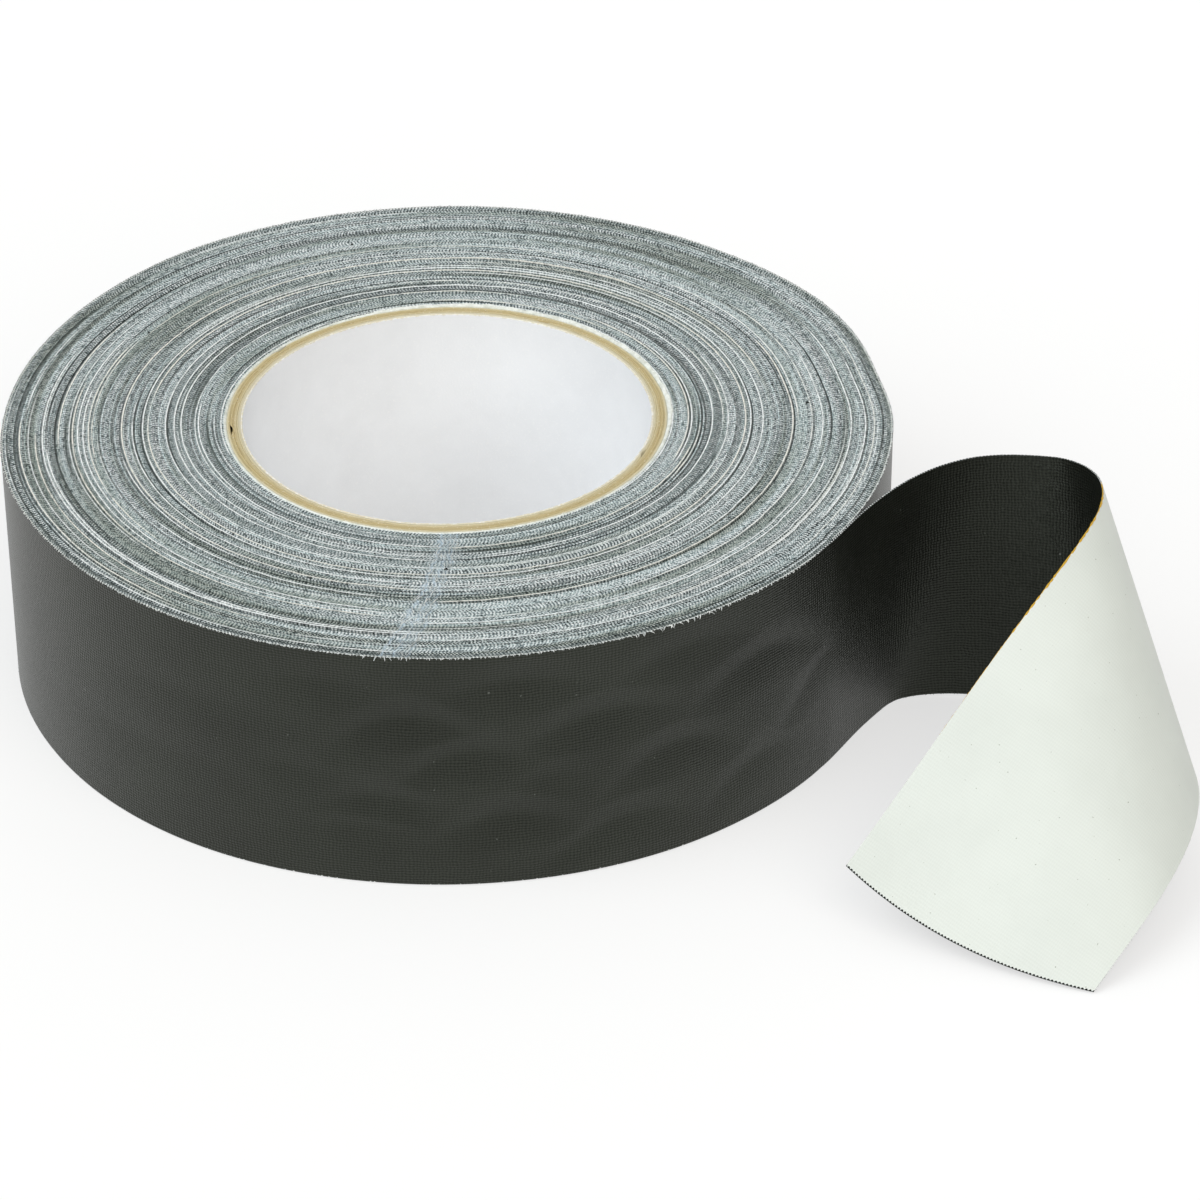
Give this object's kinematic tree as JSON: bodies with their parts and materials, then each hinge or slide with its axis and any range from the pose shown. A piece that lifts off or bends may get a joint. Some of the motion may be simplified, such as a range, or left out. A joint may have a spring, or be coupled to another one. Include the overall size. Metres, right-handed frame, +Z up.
{
  "type": "duct tape roll",
  "caption": "Wide roll of black cloth tape on a spiral-wound paper core, lying flat with its free end peeled off, curled over and showing the pale adhesive side.",
  "frame": {"origin": "on the core's axis, at the roll's bottom face", "axes": "+Z up along the core's bore; the peeled tail leaves the roll on the +X side, towards -Y"},
  "size_m": [0.2177, 0.1965, 0.0528],
  "materials": {
    "white_paper": "matte",
    "kraft_board": "matte",
    "wound_tape": "matte",
    "adhesive": "satin",
    "cotton_cloth": "matte",
    "black_coat": "satin"
  },
  "bodies": {
    "roll": {"core_liner": "white_paper", "core_ply_1": "kraft_board", "core_ply_2": "kraft_board", "core_ply_3": "kraft_board", "core_ply_4": "kraft_board", "core_facing": "white_paper", "wound_turns": "wound_tape", "last_turn_adhesive": "adhesive", "last_turn_cloth": "cotton_cloth", "last_turn_coat": "black_coat"},
    "tail": {"tail_adhesive": "adhesive", "tail_cloth": "cotton_cloth", "tail_coat": "black_coat"}
  },
  "joints": [
    {"name": "tail_peel", "type": "hinge", "parent": "roll", "child": "tail", "pos_m": [0.07003, -0.04376, 0], "axis": [0, 0, -1], "range_deg": [0, 45]}
  ]
}
